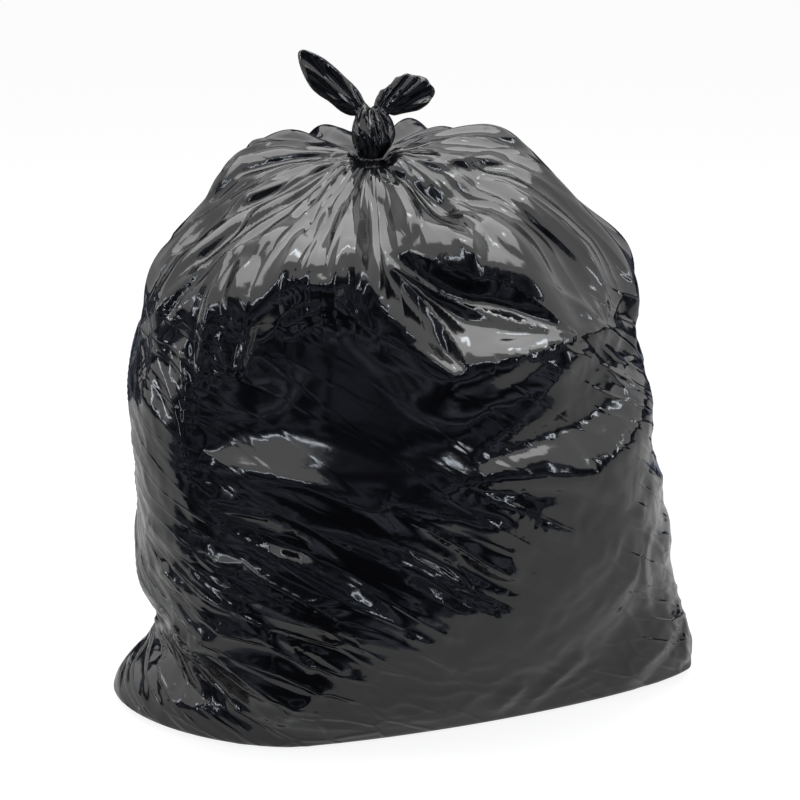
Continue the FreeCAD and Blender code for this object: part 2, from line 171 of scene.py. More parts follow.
def line_height(seen_at, line, left, right):
    """The height of one crease at each point, from the nearest stretch of its line."""
    nearest = np.full(len(seen_at), FAR)
    height = np.zeros(len(seen_at))
    for (x0, y0, h0), (x1, y1, h1) in zip(line, line[1:]):
        run = np.array([x1 - x0, y1 - y0], dtype=float)
        off = seen_at - np.array([x0, y0])
        share = np.clip(off @ run / (run @ run), 0, 1)
        rest = off - share[:, None] * run
        distance = np.hypot(rest[:, 0], rest[:, 1])
        side = (run[0] * off[:, 1] - run[1] * off[:, 0]) / np.maximum(distance, 1e-6)
        leftness = np.clip(0.5 - 0.5 * side / np.hypot(*run), 0, 1)
        reach = right + leftness * (left - right)
        rounded = np.sqrt(distance ** 2 + CREST ** 2) - CREST
        here = (h0 + share * (h1 - h0)) * np.clip(1 - rounded / reach, 0, 1)
        closer = distance < nearest
        nearest = np.where(closer, distance, nearest)
        height = np.where(closer, here, height)
    return height


def crease_lift(seen_at, creases):
    """How far all the creases together lift each point, in millimetres."""
    highest = np.zeros(len(seen_at))
    lowest = np.zeros(len(seen_at))
    for line, left, right in creases:
        height = line_height(seen_at, line, left, right)
        highest = np.maximum(highest, height)
        lowest = np.minimum(lowest, height)
    return highest + lowest


print("a crest is rounded over", CREST, "pixels")

# %% [markdown]
# A picture shows only the near side, so a crease may lift only the film that faces the camera.
# Its sharp line also needs smaller faces than the rest of the bag. Splitting all faces would make
# the piece too heavy, so only those beside a line are split.

# %% Find the film beside a line, and split it finer
FACING = (0.02, 0.27)
SEEN_ENOUGH = 0.1


def facing_camera(points, normals):
    """1 where the film faces the camera and 0 where it faces away, with a soft change."""
    to_camera = np.array(CAMERA_PLACE) - points
    to_camera /= np.linalg.norm(to_camera, axis=1)[:, None]
    return blend(*FACING, np.einsum("ij,ij->i", to_camera, normals))


def distance_to_lines(seen_at, lines):
    """How many pixels each point is from the nearest of all the lines."""
    nearest = np.full(len(seen_at), FAR)
    for line in lines:
        for start, end in zip(line, line[1:]):
            run = np.array([end[0] - start[0], end[1] - start[1]], dtype=float)
            off = seen_at - start[:2]
            share = np.clip(off @ run / (run @ run), 0, 1)
            rest = off - share[:, None] * run
            nearest = np.minimum(nearest, np.hypot(rest[:, 0], rest[:, 1]))
    return nearest


def refine_beside(piece, lines, reach):
    """Splits the faces beside the lines in four, where the camera sees them."""
    points = points_of(piece)
    near = distance_to_lines(seen(points), lines) < reach
    near &= facing_camera(points, normals_of(piece)) > SEEN_ENOUGH
    mesh = bmesh.new()
    mesh.from_mesh(piece.data)
    edges = [e for e in mesh.edges if near[e.verts[0].index] and near[e.verts[1].index]]
    bmesh.ops.subdivide_edges(mesh, edges=edges, cuts=1, use_grid_fill=True)
    mesh.to_mesh(piece.data)
    mesh.free()
    triangles = sum(len(face.vertices) - 2 for face in piece.data.polygons)
    print(piece.name, "has", triangles, "triangles")


in_view = facing_camera(points_of(film), normals_of(film)) > SEEN_ENOUGH
print("the camera sees", in_view.sum(), "of the film's points")

# %% [markdown]
# The bag's folds all run from or around a few places: the neck where the film is gathered, the
# panel in the middle of the front and the lower belly that the refuse pulls smooth, the pocket
# under the right shoulder, the star of folds beside it and the left corner. They are named here
# once, and both the folds and the finish below measure from them. The film is split finer first,
# and every fold is then moved in code: a cloth simulation could crumple it too, but a strong one
# roughens the smooth panel.

# %% The places that the folds are measured from
NECK = np.array([-0.0304, -0.0381, 0.512])
TIGHT_PANEL = np.array([-0.04, -0.19, 0.31])
SMOOTH_BELLY = np.array([0.12, -0.18, 0.06])
POCKET = np.array([0.08, -0.15, 0.40])
STAR = np.array([0.17, -0.18, 0.26])
LEFT_CORNER = np.array([-0.24, -0.12, 0.27])
print("the film is gathered", (NECK[2] * 1000).round(), "mm above the floor")
subdivide(film)

# %% [markdown]
# Pulled film has long, narrow wrinkles that run the way it is pulled: down and across from
# the shoulders to the opposite foot, and outwards from the neck. They are noise that is stretched
# along one direction. Where the noise is zero there is a sharp crest, which gives long lines
# that wander a little. Each side of the bag has its own direction, and they are mixed by which
# way the film faces. Drawing each wrinkle would look no better and take hundreds of lines.

# %% Wrinkles down the sides
CREST_SHARPNESS = 4.5
DRAG_SLOPE = math.radians(24)
DRAG_LENGTH = 0.2
DRAG_WIDTH = 0.016
DRAG_HEIGHT = 0.0015
SHIFT_X = 7
SHIFT_Y = 13
PULLS = {
    (0, -1): (1, 0), (0, 1): (-1, 0), (1, 0): (0, 1), (-1, 0): (0, -1),
}


def crested(places):
    """Rounded crests, 1 high, along the lines where a smooth noise is zero."""
    values = np.array([noise.noise(Vector(place)) for place in places])
    return np.exp(-((values * CREST_SHARPNESS) ** 2))


def drag_wrinkles(points, normals):
    """Each side's own wrinkles, mixed by which way the film faces."""
    total = np.zeros(len(points))
    weight = np.zeros(len(points))
    level, fall = math.cos(DRAG_SLOPE), math.sin(DRAG_SLOPE)
    for (face_x, face_y), (pull_x, pull_y) in PULLS.items():
        pull = np.array([pull_x * level, pull_y * level, -fall])
        along = points @ pull
        stretched = (points - along[:, None] * pull) / DRAG_WIDTH + along[:, None] * pull / DRAG_LENGTH
        facing = np.clip(normals[:, 0] * face_x + normals[:, 1] * face_y, 0, 1) ** 2
        total += facing * crested(stretched + SHIFT_X * face_x + SHIFT_Y * face_y)
        weight += facing
    return total / np.maximum(weight, 0.2)


print("the drags slope by", round(math.degrees(DRAG_SLOPE)), "degrees")

# %% [markdown]
# At the neck the film is drawn together, so its wrinkles run outwards like spokes. Noise laid out
# around the neck gives them, because a turn changes the place in it and a step outwards hardly
# does. The knot's body is wound upright, and the loose ends are pleated from the knot outwards.

# %% Wrinkles around the neck and on the knot
GATHER_TURNS = 6.5
GATHER_STEPS = 5
GATHER_SLOPE = 0.03
GATHER_HEIGHT = 0.0012
KNOT_TOP = np.array([-0.0304, -0.0381, 0.552])
KNOT_HEIGHT = 0.0024
END_TURNS = 5.0
END_STEPS = 12
END_SPREAD = 60
BODY_TURNS = 2.6
BODY_STEPS = 18
LOOSE_ENDS = (0.555, 0.572)


def spokes(turn, turns, steps):
    """Places that lie around a circle, so that the noise in them runs outwards."""
    return np.stack([np.cos(turn) * turns, np.sin(turn) * turns, steps], axis=1)


def gather_wrinkles(points):
    """Spokes around the neck, higher further out."""
    away = points - NECK
    turn = np.arctan2(away[:, 1], away[:, 0])
    reach = np.hypot(away[:, 0], away[:, 1])
    places = spokes(turn, GATHER_TURNS, reach * GATHER_STEPS)
    return crested(places) * np.minimum(reach * GATHER_SLOPE, GATHER_HEIGHT)


def knot_wrinkles(points):
    """Upright on the knot's body, and lengthwise on the two loose ends."""
    away = points - KNOT_TOP
    reach = np.hypot(away[:, 0], away[:, 2])
    ends = spokes(np.arctan2(away[:, 0], away[:, 2]), END_TURNS, reach * END_STEPS)
    ends += away[:, 1:2] * END_SPREAD
    body = spokes(np.arctan2(away[:, 1], away[:, 0]), BODY_TURNS, points[:, 2] * BODY_STEPS)
    loose = blend(*LOOSE_ENDS, points[:, 2])
    return KNOT_HEIGHT * (loose * crested(ends) * blend(0, 0.03, reach) + (1 - loose) * crested(body))


print("the knot's wrinkles are at most", KNOT_HEIGHT / MM, "mm high")

# %% [markdown]
# The kinds fade into each other by height: drags below, gathers above them and the knot's own
# wrinkles on top. Low at the floor and on the smooth panel the drags die out.

# %% Lay the wrinkles over the film
DRAGS_END = (0.34, 0.42)
DRAGS_START = (0.004, 0.05)
GATHERS_START = (0.36, 0.46)
KNOT_START = (0.512, 0.522)
KNOT_SINK = 0.0008
PANEL_REACH = (0.05, 0.19)
PANEL_SHAPE = np.array([1, 1, 1.3])

points = points_of(film)
normals = normals_of(film)
knotted = blend(*KNOT_START, points[:, 2])
high = blend(*GATHERS_START, points[:, 2]) * (1 - knotted)
low = (1 - blend(*DRAGS_END, points[:, 2])) * blend(*DRAGS_START, points[:, 2])
panel = blend(*PANEL_REACH, np.linalg.norm((points - TIGHT_PANEL) * PANEL_SHAPE, axis=1))
lift = low * panel * DRAG_HEIGHT * drag_wrinkles(points, normals) + high * gather_wrinkles(points)
lift += knotted * (knot_wrinkles(points) - KNOT_SINK)
move_points(film, points + normals * lift[:, None])
print("wrinkles lift the film by at most", (lift.max() * 1000).round(2), "mm")

# %% [markdown]
# The creases of the photograph come last, over everything else. The gathers to the left of the
# knot are one list and all the others a second one. Each crease is a line of points in pixels
# with its height in millimetres, and how far its two flanks reach.

# %% The gathers left of the knot
GATHER_CREASES = [
    ([(346, 148, 1), (280, 141, 3), (252, 143, 5), (208, 184, 4)], 10, 14),
    ([(347, 155, 0), (285, 170, 3), (240, 183, 4), (177, 235, 4)], 10, 10),
    ([(347, 155, 0), (305, 177, 3), (242, 200, 5), (192, 230, 5), (162, 265, 4)], 10, 10),
    ([(347, 156, 0), (290, 200, 4), (232, 227, 5), (185, 262, 5), (150, 312, 4)], 10, 10),
    ([(347, 157, 0), (290, 207, 3), (230, 252, 6), (180, 290, 6), (145, 325, 4)], 10, 14),
    ([(347, 157, 0), (305, 210, 4), (270, 240, 6), (230, 260, 7), (192, 300, 5), (162, 335, 3)], 12, 12),
    ([(347, 157, 0), (318, 205, 4), (295, 250, 7), (270, 292, 8), (250, 315, 9)], 22, 18),
    ([(347, 157, 0), (330, 200, 3), (322, 240, 6), (305, 280, 6)], 14, 14),
    ([(350, 158, 1), (352, 200, 5), (350, 248, 7)], 14, 8),
    ([(243, 262, 5), (238, 295, 6), (250, 315, 9)], 14, 14),
    ([(250, 315, 9), (246, 345, 8), (238, 370, 4)], 5, 5),
    ([(220, 340, 3), (230, 365, 4), (238, 370, 4)], 4, 7),
    ([(230, 260, 7), (212, 300, 6), (203, 346, 6), (199, 387, 3)], 9, 7),
    ([(187, 346, 3), (197, 386, 3)], 5, 5),
    ([(250, 315, 9), (270, 297, 7), (285, 282, 6), (305, 280, 6),
      (332, 287, 7), (337, 262, 6), (347, 245, 7)], 8, 26),
    ([(290, 325, 3), (320, 307, 5), (337, 305, 5), (355, 317, 4), (370, 330, 3)], 14, 10),
    ([(330, 175, 0), (318, 200, -4), (311, 222, -2)], 6, 6),
    ([(347, 160, 0), (306, 195, -3), (260, 222, -3), (205, 262, -3)], 5, 5),
    ([(347, 158, 0), (300, 184, -2), (236, 210, -3), (180, 252, -3)], 5, 5),
    ([(347, 154, 0), (290, 160, -3), (245, 172, -3), (215, 200, -3)], 5, 5),
]
print(len(GATHER_CREASES), "gathers")

# %% The other creases of the photograph
CREASES = [
    # the fold from the knot down, and the pocket of film to its right
    ([(349, 163, 2), (351, 251, 7), (366, 284, 6), (387, 316, 4), (460, 380, 1)], 22, 30),
    ([(380, 180, 2), (399, 192, 6), (407, 215, 7), (410, 247, 3)], 14, 18),
    ([(411, 252, 4), (445, 264, 7), (476, 276, 7), (489, 275, 6),
      (516, 286, 6), (544, 307, 5), (575, 333, 3)], 26, 20),
    ([(395, 268, 3), (437, 293, 5), (472, 310, 5), (512, 322, 4), (571, 335, 2)], 12, 12),
    ([(395, 272, 2), (428, 307, 5), (455, 341, 5), (468, 366, 6)], 14, 12),
    ([(575, 335, 3), (560, 343, 5), (533, 354, 7), (495, 365, 6), (470, 368, 5)], 18, 24),
    ([(380, 330, 2), (418, 352, 5), (455, 377, 6), (470, 370, 5)], 16, 22),
    ([(424, 330, 0), (446, 352, -4), (462, 366, -2)], 10, 10),
    ([(409, 151, 2), (440, 155, 5), (464, 157, 5), (495, 150, 3)], 14, 16),
    ([(447, 190, 3), (470, 232, 6), (476, 272, 4)], 16, 22),
    ([(478, 182, 3), (500, 190, 8), (522, 206, 12), (548, 226, 13), (578, 252, 10), (602, 284, 4)], 20, 44),
    ([(389, 176, 3), (405, 157, 5)], 10, 14),
    ([(577, 335, 4), (596, 329, 6), (611, 328, 6), (631, 339, 4)], 14, 16),
    ([(604, 330, 5), (602, 300, 4), (600, 268, 1)], 10, 12),
    ([(604, 330, 5), (592, 306, 4), (584, 284, 1)], 10, 10),
    ([(604, 330, 5), (580, 308, 4), (552, 289, 2)], 10, 12),
    ([(604, 330, 5), (612, 310, 4), (622, 290, 1)], 8, 8),
    # the star of folds on the right
    ([(463, 484, 4), (494, 476, 6), (547, 474, 6), (593, 475, 6),
      (618, 446, 5), (635, 421, 4), (643, 388, 2)], 30, 18),
    ([(593, 475, 6), (628, 501, 5), (647, 520, 4)], 16, 20),
    ([(465, 490, 2), (509, 507, 5), (549, 532, 5), (568, 540, 2)], 14, 18),
    ([(461, 472, 2), (494, 442, 4), (530, 405, 5), (564, 369, 5), (584, 350, 3)], 26, 30),
    ([(476, 470, 0), (492, 457, -4), (559, 432, -5), (620, 406, -2)], 16, 14),
    ([(480, 488, 0), (500, 492, -3), (561, 496, -3), (580, 500, 0)], 8, 8),
    ([(648, 526, 3), (630, 576, 5), (610, 604, 3)], 12, 16),
    ([(648, 526, 3), (640, 560, 5), (645, 599, 3)], 8, 12),
    # the left corner
    ([(142, 350, 1), (148, 394, 4), (166, 420, 5), (184, 438, 5),
      (190, 465, 5), (194, 484, 4), (224, 522, 3)], 18, 26),
    ([(163, 367, 3), (176, 400, 6), (184, 438, 6)], 8, 12),
    ([(182, 350, 3), (188, 392, 5), (184, 438, 6)], 10, 16),
    # long drags from the left side down to the belly
    ([(192, 459, 3), (245, 472, 5), (310, 488, 5), (368, 513, 4), (400, 541, 2)], 14, 14),
    ([(196, 482, 4), (215, 497, 7), (272, 514, 7), (330, 541, 6), (400, 570, 3)], 14, 18),
    ([(224, 524, 3), (272, 555, 6), (349, 597, 5), (400, 624, 2)], 14, 16),
    ([(148, 522, 2), (196, 555, 6), (253, 574, 6), (310, 604, 5), (349, 606, 2)], 14, 14),
    ([(167, 572, 3), (182, 585, 5), (238, 610, 5), (263, 637, 2)], 12, 12),
    ([(176, 568, 2), (253, 597, 5), (291, 614, 4), (337, 637, 1)], 10, 12),
    ([(400, 503, 3), (448, 518, 5), (499, 528, 5), (530, 541, 2)], 12, 14),
    ([(400, 509, 2), (448, 539, 5), (496, 568, 5), (542, 582, 2)], 10, 12),
    ([(400, 534, 2), (452, 558, 5), (471, 581, 5), (515, 599, 2)], 10, 12),
    ([(400, 550, 2), (457, 583, 5), (513, 618, 2)], 10, 12),
    ([(400, 578, 2), (457, 612, 5), (507, 620, 2)], 12, 14),
    ([(400, 604, 2), (446, 633, 4)], 12, 14),
    ([(450, 624, 3), (459, 637, 3)], 6, 8),
    ([(413, 638, 3), (441, 645, 3)], 6, 8),
    ([(421, 642, 2), (451, 667, 3)], 6, 8),
    # the left foot and its tucked ear
    ([(190, 648, 5), (220, 632, 6), (261, 636, 3)], 12, 16),
    ([(192, 662, 3), (206, 701, 5), (243, 733, 2)], 12, 16),
    ([(151, 619, 0), (167, 648, -5), (186, 682, -6), (214, 707, -5), (255, 735, 0)], 12, 14),
    ([(153, 611, 3), (170, 630, 5), (186, 644, 5)], 8, 10),
    ([(288, 640, 3), (310, 666, 3)], 6, 8),
    ([(296, 642, 3), (343, 669, 3)], 6, 8),
    ([(320, 609, 3), (339, 617, 3)], 6, 8),
    ([(231, 707, 3), (269, 717, 3)], 6, 10),
    ([(280, 720, 2), (320, 694, 3)], 8, 10),
    # the right foot
    ([(637, 671, 3), (660, 646, 5), (676, 621, 4)], 14, 12),
    ([(682, 621, 3), (684, 656, 3)], 6, 6),
    ([(498, 707, 2), (520, 687, 3)], 8, 8),
    ([(527, 703, 2), (580, 658, 3)], 8, 8),
]
print(len(CREASES), "creases")

# %% [markdown]
# Around the pocket and the star the film is folded double for a few millimetres, so each edge has
# a thin standing lip that catches the light. A lip is narrower than the film's faces, so the faces
# beside it are split twice before it is raised.

# %% The lips
LIPS = [
    [(411, 252), (445, 264), (476, 276), (489, 275), (516, 286), (544, 307), (575, 333)],
    [(395, 268), (437, 293), (472, 310), (512, 322), (571, 335)],
    [(395, 272), (428, 307), (455, 341), (468, 366)],
    [(575, 335), (560, 343), (533, 354), (495, 365)],
    [(463, 484), (494, 476), (547, 474), (593, 475), (618, 446), (635, 421)],
    [(465, 490), (509, 507), (549, 532)],
]
LIP_WIDTH = 1.3
LIP_HEIGHT = 0.0011


def raise_lips(piece, lips):
    """Lifts the film in a narrow ridge along each line."""
    points = points_of(piece)
    normals = normals_of(piece)
    lift = np.exp(-((distance_to_lines(seen(points), lips) / LIP_WIDTH) ** 2)) * LIP_HEIGHT
    move_points(piece, points + normals * (lift * facing_camera(points, normals))[:, None])
    print("raised", len(lips), "lips")


# %% Raise the creases and the lips
CREASE_REACH = 3.3
LIP_REACH = 2.5
CREASES_END = (0.515, 0.525)
FLOOR_GAP = 0.0002


def raise_creases(piece, creases):
    """Moves the side of the film that the camera sees along its normals, up to the knot."""
    points = points_of(piece)
    normals = normals_of(piece)
    lift = facing_camera(points, normals) * crease_lift(seen(points), creases) * MM
    lift *= 1 - blend(*CREASES_END, points[:, 2])
    move_points(piece, points + normals * lift[:, None])
    print(len(creases), "creases lift the film by at most", (lift.max() * 1000).round(1), "mm")


refine_beside(film, [line for line, left, right in CREASES], CREASE_REACH)
refine_beside(film, LIPS, LIP_REACH)
raise_creases(film, GATHER_CREASES + CREASES)
raise_lips(film, LIPS)
points = points_of(film)
points[:, 2] = np.maximum(points[:, 2], FLOOR_GAP)
move_points(film, points)

# %% [markdown]
# Materials are written as sums: one small class wraps a socket, so that an expression such as
# 0.1 + 0.2 * mask adds its Math nodes. Linking every node by hand would do the same, but a sum can
# be read.


# %% A small language for materials
class Value:
    """A number that varies over the surface: an output socket that can be calculated with."""

    def __init__(self, material, socket):
        self.material = material
        self.socket = socket

    def _maths(self, operation, first, second):
        return self.material.node("ShaderNodeMath", {"operation": operation}, {0: first, 1: second})

    def __add__(self, other):
        return self._maths("ADD", self, other)

    def __radd__(self, other):
        return self._maths("ADD", other, self)

    def __rsub__(self, other):
        return self._maths("SUBTRACT", other, self)

    def __mul__(self, other):
        return self._maths("MULTIPLY", self, other)

    def __rmul__(self, other):
        return self._maths("MULTIPLY", other, self)


class Finish:
    """A material and its Principled shader, built up node by node."""

    def __init__(self, name):
        self.material = bpy.data.materials.new(name)
        self.material.use_nodes = True
        self.tree = self.material.node_tree
        self.shader = self.tree.nodes["Principled BSDF"]

    def node(self, kind, settings, sockets, output=0):
        """Adds a node: its settings first, then the values or links of its sockets."""
        made = self.tree.nodes.new(kind)
        for name, value in settings.items():
            setattr(made, name, value)
        for name, value in sockets.items():
            self.feed(made.inputs[name], value)
        return Value(self, made.outputs[output])

    def feed(self, socket, value):
        if isinstance(value, Value):
            self.tree.links.new(value.socket, socket)
        else:
            socket.default_value = value

    def set(self, **values):
        """Feeds the shader's sockets, named with underscores for spaces."""
        for name, value in values.items():
            self.feed(self.shader.inputs[name.replace("_", " ")], value)


# %% [markdown]
# Thin black film is a dark, smooth plastic. Pulled over rubbish it breaks up into small hollows
# with sharp ridges between them. The square of the distance to the nearest of many scattered
# points has that form: a shallow bowl around each point, and a ridge wherever two bowls meet.
# Stretched along the pull, the bowls become long drags; laid out around the neck, gathers.

# %% Hollows and ridges
black = Finish("black film")
place = black.node("ShaderNodeTexCoord", {}, {}, "Object")
height = black.node("ShaderNodeSeparateXYZ", {}, {0: place}, "Z")
wander = black.node("ShaderNodeTexNoise", {}, {"Vector": place, "Scale": 12.0, "Detail": 2.0}, "Color")


def vector_sum(operation, *values):
    """A Vector Math node on one, two or three vectors."""
    return black.node("ShaderNodeVectorMath", {"operation": operation}, dict(enumerate(values)))


def amount(operation, *values):
    """A Vector Math node whose answer is a number."""
    return black.node("ShaderNodeVectorMath", {"operation": operation}, dict(enumerate(values)), "Value")


def step_mask(value, low, high):
    """0 below low and 1 above high, with a soft change between them."""
    limits = {"Value": value, "From Min": low, "From Max": high}
    return black.node("ShaderNodeMapRange", {"interpolation_type": "SMOOTHSTEP"}, limits)


def turned_by(vector, angle):
    """A vector turned about the upright axis."""
    turn = {"Vector": vector, "Angle": angle}
    return black.node("ShaderNodeVectorRotate", {"rotation_type": "Z_AXIS"}, turn)


def scattered(places, bend, feature):
    """The distance to scattered points or to the borders between them, with wandering lines."""
    bent = vector_sum("MULTIPLY_ADD", wander, (bend,) * 3, places)
    sockets = {"Vector": bent, "Scale": 1.0}
    return black.node("ShaderNodeTexVoronoi", {"feature": feature}, sockets, "Distance")


def bowls(places, bend):
    """The square of the distance to the nearest scattered point, about 0 to 0.4."""
    distance = scattered(places, bend, "F1")
    return distance * distance


def pinches(places, bend, width):
    """Narrow ridges, 1 high, along the borders between the scattered points."""
    return 1.0 - step_mask(scattered(places, bend, "DISTANCE_TO_EDGE"), 0.0, width)


print("material:", black.material.name)

# %% [markdown]
# The sides' hollows wind around the bag as they go down, because the film is twisted by its
# knot. So the places are turned more the higher they are, and hold fewer cells along than across.

# %% Long drags on the sides
HELIX = 8.0
DRAG_CELLS = (16, 16, 9)
LINE_CELLS = (26, 26, 9)
turned = turned_by(place, height * HELIX)
long_drags = bowls(vector_sum("MULTIPLY", turned, DRAG_CELLS), 0.45)
drag_lines = pinches(vector_sum("MULTIPLY", turned, LINE_CELLS), 0.4, 0.13)
print("the drags turn by", HELIX, "radians a metre")

# %% [markdown]
# Around the neck the cells lie in a circle, so they become spokes. On the loose ends they lie
# around the knot in the plane of the ends, and on the knot's body they wind upright.

# %% Gathers at the neck, and pleats on the knot
GATHER_CELLS = 10.0
PLEAT_CELLS = 6.0
WINDING_CELLS = 2.4
from_neck = vector_sum("MULTIPLY", vector_sum("SUBTRACT", place, tuple(NECK)), (1, 1, 0))
neck_reach = amount("LENGTH", from_neck)
around = vector_sum("NORMALIZE", from_neck)
ray_place = black.node("ShaderNodeCombineXYZ", {}, {"Z": neck_reach * 7.0})
gathers = bowls(vector_sum("MULTIPLY_ADD", around, (GATHER_CELLS,) * 3, ray_place), 0.3)

from_knot = vector_sum("MULTIPLY", vector_sum("SUBTRACT", place, tuple(KNOT_TOP)), (1, 0.3, 1))
knot_reach = amount("LENGTH", from_knot)
knot_place = black.node("ShaderNodeCombineXYZ", {}, {"Y": knot_reach * 25.0})
knot_around = vector_sum("NORMALIZE", from_knot)
end_pleats = bowls(vector_sum("MULTIPLY_ADD", knot_around, (PLEAT_CELLS,) * 3, knot_place), 0.8)

upright = black.node("ShaderNodeCombineXYZ", {}, {"Z": height * 45.0})
twisted = turned_by(around, height * 28.0)
knot_pleats = bowls(vector_sum("MULTIPLY_ADD", twisted, (WINDING_CELLS,) * 3, upright), 1.6)
print("cells around the neck:", GATHER_CELLS, "and on the loose ends:", PLEAT_CELLS)

# %% [markdown]
# Each kind of hollow has its own part of the bag, and they fade into each other. The panel in the
# middle of the front and the lower right of the belly are pulled smooth, and so is the film near
# the pocket, the star and the left corner, where the creases are shaped in the mesh.

# %% Where each kind of hollow lies
def away_from(middle, near, far):
    """0 near a point and 1 far from it, with a soft change between them."""
    return step_mask(amount("DISTANCE", place, tuple(middle)), near, far)


upper = step_mask(height, 0.36, 0.44)
knotted = step_mask(height, 0.512, 0.524)
loose_ends = step_mask(height, *LOOSE_ENDS)
panel = away_from(TIGHT_PANEL, 0.06, 0.2)
belly = away_from(SMOOTH_BELLY, 0.05, 0.2)
pocket = away_from(POCKET, 0.05, 0.12)
star = away_from(STAR, 0.05, 0.12)
corner = away_from(LEFT_CORNER, 0.06, 0.14)
folded = (0.15 + 0.85 * pocket) * (0.15 + 0.85 * star) * (0.2 + 0.8 * corner)
loose = (0.12 + 0.88 * panel) * (0.15 + 0.85 * belly) * folded
print("the film's finish has", len(black.tree.nodes), "nodes so far")

# %% [markdown]
# The hollows are relief in metres, which one Bump node turns into the surface's slope. They could
# be moved in the mesh, but that would take millions of faces. Black film isn't a perfect mirror
# either: fine grain and haze spread each reflection, more in some places.

# %% The film's relief and gloss
DRAG_DEPTH = 0.0042
LINE_DEPTH = 0.0009
GATHER_DEPTH = 0.032
PLEAT_DEPTH = 0.15
WINDING_DEPTH = 0.0055
GRAIN_DEPTH = 0.00012
drag_relief = (1.0 - upper) * loose * (DRAG_DEPTH * long_drags + LINE_DEPTH * drag_lines)
gather_relief = upper * (1.0 - knotted) * folded * neck_reach * GATHER_DEPTH * gathers
end_relief = loose_ends * (PLEAT_DEPTH * knot_reach * end_pleats)
body_relief = (1.0 - loose_ends) * (WINDING_DEPTH * knot_pleats)
knot_relief = knotted * (end_relief + body_relief)
grain_sockets = {"Vector": place, "Scale": 90.0, "Detail": 4.0, "Roughness": 0.6}
grain = black.node("ShaderNodeTexNoise", {}, grain_sockets)
haze = black.node("ShaderNodeTexNoise", {}, {"Vector": place, "Scale": 9.0, "Detail": 3.0})
relief = drag_relief + gather_relief + knot_relief + GRAIN_DEPTH * grain
bump = black.node("ShaderNodeBump", {}, {"Height": relief, "Strength": 1.0, "Distance": 1.0})
black.set(
    Base_Color=(0.0035, 0.0037, 0.005, 1),
    Roughness=0.07 + 0.10 * haze,
    IOR=1.5,
    Specular_IOR_Level=0.8,
    Normal=bump,
)
film.data.materials.clear()
film.data.materials.append(black.material)
film.data.polygons.foreach_set("use_smooth", [True] * len(film.data.polygons))
print("the film's finish has", len(black.tree.nodes), "nodes")

# %% [markdown]
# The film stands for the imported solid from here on: it takes that node's place, has its own
# material slot and rides on the part's one body, because nothing on a tied bag moves.

# %% Hand the film over to the model
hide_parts("bag")
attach(film, "root")
print("the film takes the place of the bag")

# %% [markdown]
# The studio is plain. The floor must keep the bag's shadow and still look white, so it has a
# grey surface and glows by itself: to the camera as brightly as the background, and less in
# reflections, so that the film doesn't turn grey near the floor.


# %% The floor
def stage_piece(name, mesh, finish, seen_by_camera):
    """Makes an object of the studio, which isn't part of the model."""
    piece = bpy.data.objects.new(name, bpy.data.meshes.new(name))
    bpy.context.scene.collection.objects.link(piece)
    mesh.to_mesh(piece.data)
    mesh.free()
    piece.data.materials.append(finish.material)
    piece.visible_camera = seen_by_camera
    return piece


FLOOR_SIZE = 30.0
FLOOR_SHADE = 0.25
SEEN_GLOW = 0.87
MIRRORED_GLOW = 0.34
floor_mesh = bmesh.new()
bmesh.ops.create_grid(floor_mesh, x_segments=1, y_segments=1, size=FLOOR_SIZE / 2)
pale = Finish("pale floor")
seen_ray = pale.node("ShaderNodeLightPath", {}, {}, "Is Camera Ray")
glossy_ray = pale.node("ShaderNodeLightPath", {}, {}, "Is Glossy Ray")
clear_ray = pale.node("ShaderNodeLightPath", {}, {}, "Is Transmission Ray")
pale.set(
    Base_Color=(FLOOR_SHADE, FLOOR_SHADE, FLOOR_SHADE, 1),
    Roughness=1.0,
    Specular_IOR_Level=0.0,
    Emission_Color=SEEN_GLOW * seen_ray + MIRRORED_GLOW * glossy_ray + SEEN_GLOW * clear_ray,
    Emission_Strength=1.0,
)
floor = stage_piece("floor", floor_mesh, pale, True)
print("the floor is", FLOOR_SIZE, "m wide")

# %% [markdown]
# Without anything dark around it every side of the bag would mirror the white room, and the film
# would look grey. A photographer would stand black boards beside it. Here they are a low wall and
# a ring on the floor, which only reflections see. Both glow a little and unevenly, as a dim room
# does, so that the film's black isn't dead.


# %% The finish of the dark screens
def dim_finish(name, colour, size):
    """A dark stage finish that glows faintly and unevenly, as a dark room seen in a reflection does."""
    finish = Finish(name)
    place = finish.node("ShaderNodeTexCoord", {}, {}, "Object")
    cloud = finish.node("ShaderNodeTexNoise", {}, {"Vector": place, "Scale": size, "Detail": 2.0})
    limits = {"Value": cloud, "From Min": 0.4, "From Max": 0.65}
    level = finish.node("ShaderNodeMapRange", {"interpolation_type": "SMOOTHSTEP"}, limits)
    glow = finish.node("ShaderNodeMix", {"data_type": "RGBA"}, {0: level, 6: (0, 0, 0, 1), 7: colour}, 2)
    finish.set(
        Base_Color=(0.01, 0.01, 0.012, 1), Roughness=1.0, Specular_IOR_Level=0.0,
        Emission_Color=glow, Emission_Strength=1.0,
    )
    return finish


dark = dim_finish("dark screen", (0.15, 0.16, 0.21, 1), 1.6)
dim_floor = dim_finish("dark floor", (0.32, 0.35, 0.44, 1), 3.5)
print("stage finishes:", dark.material.name, "and", dim_floor.material.name)

# %% [markdown]
# The wall's height and the ring's start change around the bag, and set where each side turns from
# grey to black. Both are circles whose edge is extruded and then moved, by a table that is read by
# the turn around the bag in degrees: 0 is in front and 90 to the right.

